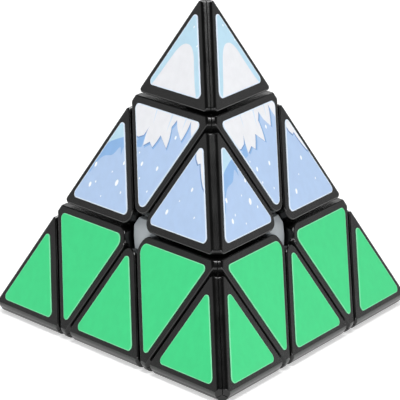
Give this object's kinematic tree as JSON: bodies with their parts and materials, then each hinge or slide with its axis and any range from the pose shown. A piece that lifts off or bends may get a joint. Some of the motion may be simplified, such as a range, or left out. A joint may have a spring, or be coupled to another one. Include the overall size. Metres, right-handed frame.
{
  "type": "pyramid twisty puzzle",
  "caption": "Four-sided pyramid puzzle: turning corner layers and free-turning tips round a spring-loaded ball core, with printed and plain stickers.",
  "frame": {"origin": "centre of the body, where the four turning axes meet", "axes": "+Z through the top vertex, square to the base face; -Y towards the front vertex"},
  "size_m": [0.0982, 0.0854, 0.0803],
  "materials": {
    "black_plastic": "black moulded ABS plastic, semi-gloss, soft rounded edges",
    "grey_core_plastic": "light grey moulded plastic, satin, smooth from sliding",
    "spring_steel": "plain bright steel",
    "printed_film": "printed vinyl film in sky, snow and mountain blues, fine white rim",
    "green_film": "plain green vinyl film, fine pale rim"
  },
  "bodies": {
    "core": {"core_ball_upper": "grey_core_plastic", "core_ball_lower": "grey_core_plastic", "core_screws": "spring_steel", "core_washers": "spring_steel", "core_springs": "spring_steel"},
    "axial_top": {"top_axial_hub": "black_plastic", "top_axial_panel_left": "black_plastic", "top_axial_panel_right": "black_plastic", "top_axial_panel_back": "black_plastic", "top_axial_stickers": "printed_film"},
    "tip_top": {"top_tip_base": "black_plastic", "top_tip_panels": "black_plastic", "top_tip_stickers": "printed_film"},
    "axial_front": {"front_axial_hub": "black_plastic", "front_axial_panel_right": "black_plastic", "front_axial_panel_left": "black_plastic", "front_axial_panel_base": "black_plastic", "front_axial_stickers": "green_film"},
    "tip_front": {"front_tip_base": "black_plastic", "front_tip_panels": "black_plastic", "front_tip_stickers": "green_film"},
    "axial_left": {"left_axial_hub": "black_plastic", "left_axial_panel_back": "black_plastic", "left_axial_panel_base": "black_plastic", "left_axial_panel_left": "black_plastic", "left_axial_stickers": "green_film"},
    "tip_left": {"left_tip_base": "black_plastic", "left_tip_panels": "black_plastic", "left_tip_stickers": "green_film"},
    "axial_right": {"right_axial_hub": "black_plastic", "right_axial_panel_base": "black_plastic", "right_axial_panel_back": "black_plastic", "right_axial_panel_right": "black_plastic", "right_axial_stickers": "green_film"},
    "tip_right": {"right_tip_base": "black_plastic", "right_tip_panels": "black_plastic", "right_tip_stickers": "green_film"},
    "edge_top_front": {"edge_top_front_shell": "black_plastic", "edge_top_front_foot": "black_plastic", "edge_top_front_stickers": "printed_film"},
    "edge_top_left": {"edge_top_left_shell": "black_plastic", "edge_top_left_foot": "black_plastic", "edge_top_left_stickers": "printed_film"},
    "edge_top_right": {"edge_top_right_shell": "black_plastic", "edge_top_right_foot": "black_plastic", "edge_top_right_stickers": "printed_film"},
    "edge_left_front": {"edge_left_front_shell": "black_plastic", "edge_left_front_foot": "black_plastic", "edge_left_front_stickers": "green_film"},
    "edge_front_right": {"edge_front_right_shell": "black_plastic", "edge_front_right_foot": "black_plastic", "edge_front_right_stickers": "green_film"},
    "edge_left_right": {"edge_left_right_shell": "black_plastic", "edge_left_right_foot": "black_plastic", "edge_left_right_stickers": "green_film"}
  },
  "joints": [
    {"name": "layer_top_turn", "type": "hinge", "parent": "core", "child": "axial_top", "pos_m": [0, 0, 0], "axis": [0, 0, 1], "range_deg": [-240, 120]},
    {"name": "layer_front_turn", "type": "hinge", "parent": "core", "child": "axial_front", "pos_m": [0, 0, 0], "axis": [0, -0.9428, -0.3333], "range_deg": [-240, 120]},
    {"name": "layer_left_turn", "type": "hinge", "parent": "core", "child": "axial_left", "pos_m": [0, 0, 0], "axis": [-0.8165, 0.4714, -0.3333], "range_deg": [-240, 120]},
    {"name": "layer_right_turn", "type": "hinge", "parent": "core", "child": "axial_right", "pos_m": [0, 0, 0], "axis": [0.8165, 0.4714, -0.3333], "range_deg": [-240, 120]},
    {"name": "tip_top_turn", "type": "hinge", "parent": "axial_top", "child": "tip_top", "pos_m": [0, 0, 0], "axis": [0, 0, 1], "continuous": true},
    {"name": "tip_front_turn", "type": "hinge", "parent": "axial_front", "child": "tip_front", "pos_m": [0, 0, 0], "axis": [0, -0.9428, -0.3333], "continuous": true},
    {"name": "tip_left_turn", "type": "hinge", "parent": "axial_left", "child": "tip_left", "pos_m": [0, 0, 0], "axis": [-0.8165, 0.4714, -0.3333], "continuous": true},
    {"name": "tip_right_turn", "type": "hinge", "parent": "axial_right", "child": "tip_right", "pos_m": [0, 0, 0], "axis": [0.8165, 0.4714, -0.3333], "continuous": true},
    {"name": "edge_top_front_turn", "type": "hinge", "parent": "axial_top", "child": "edge_top_front", "pos_m": [0, 0, 0], "axis": [0, -0.9428, -0.3333], "range_deg": [-240, 120]},
    {"name": "edge_top_left_turn", "type": "hinge", "parent": "axial_top", "child": "edge_top_left", "pos_m": [0, 0, 0], "axis": [-0.8165, 0.4714, -0.3333], "range_deg": [-240, 120]},
    {"name": "edge_top_right_turn", "type": "hinge", "parent": "axial_top", "child": "edge_top_right", "pos_m": [0, 0, 0], "axis": [0.8165, 0.4714, -0.3333], "range_deg": [-240, 120]},
    {"name": "edge_left_front_turn", "type": "hinge", "parent": "axial_left", "child": "edge_left_front", "pos_m": [0, 0, 0], "axis": [0, -0.9428, -0.3333], "range_deg": [-240, 120]},
    {"name": "edge_front_right_turn", "type": "hinge", "parent": "axial_front", "child": "edge_front_right", "pos_m": [0, 0, 0], "axis": [0.8165, 0.4714, -0.3333], "range_deg": [-240, 120]},
    {"name": "edge_left_right_turn", "type": "hinge", "parent": "axial_right", "child": "edge_left_right", "pos_m": [0, 0, 0], "axis": [-0.8165, 0.4714, -0.3333], "range_deg": [-240, 120]}
  ],
  "couplings": [
    {"joint": "edge_top_front_turn", "follows": "layer_front_turn", "ratio": 1},
    {"joint": "edge_top_left_turn", "follows": "layer_left_turn", "ratio": 1},
    {"joint": "edge_top_right_turn", "follows": "layer_right_turn", "ratio": 1},
    {"joint": "edge_left_front_turn", "follows": "layer_front_turn", "ratio": 1},
    {"joint": "edge_front_right_turn", "follows": "layer_right_turn", "ratio": 1},
    {"joint": "edge_left_right_turn", "follows": "layer_left_turn", "ratio": 1}
  ]
}
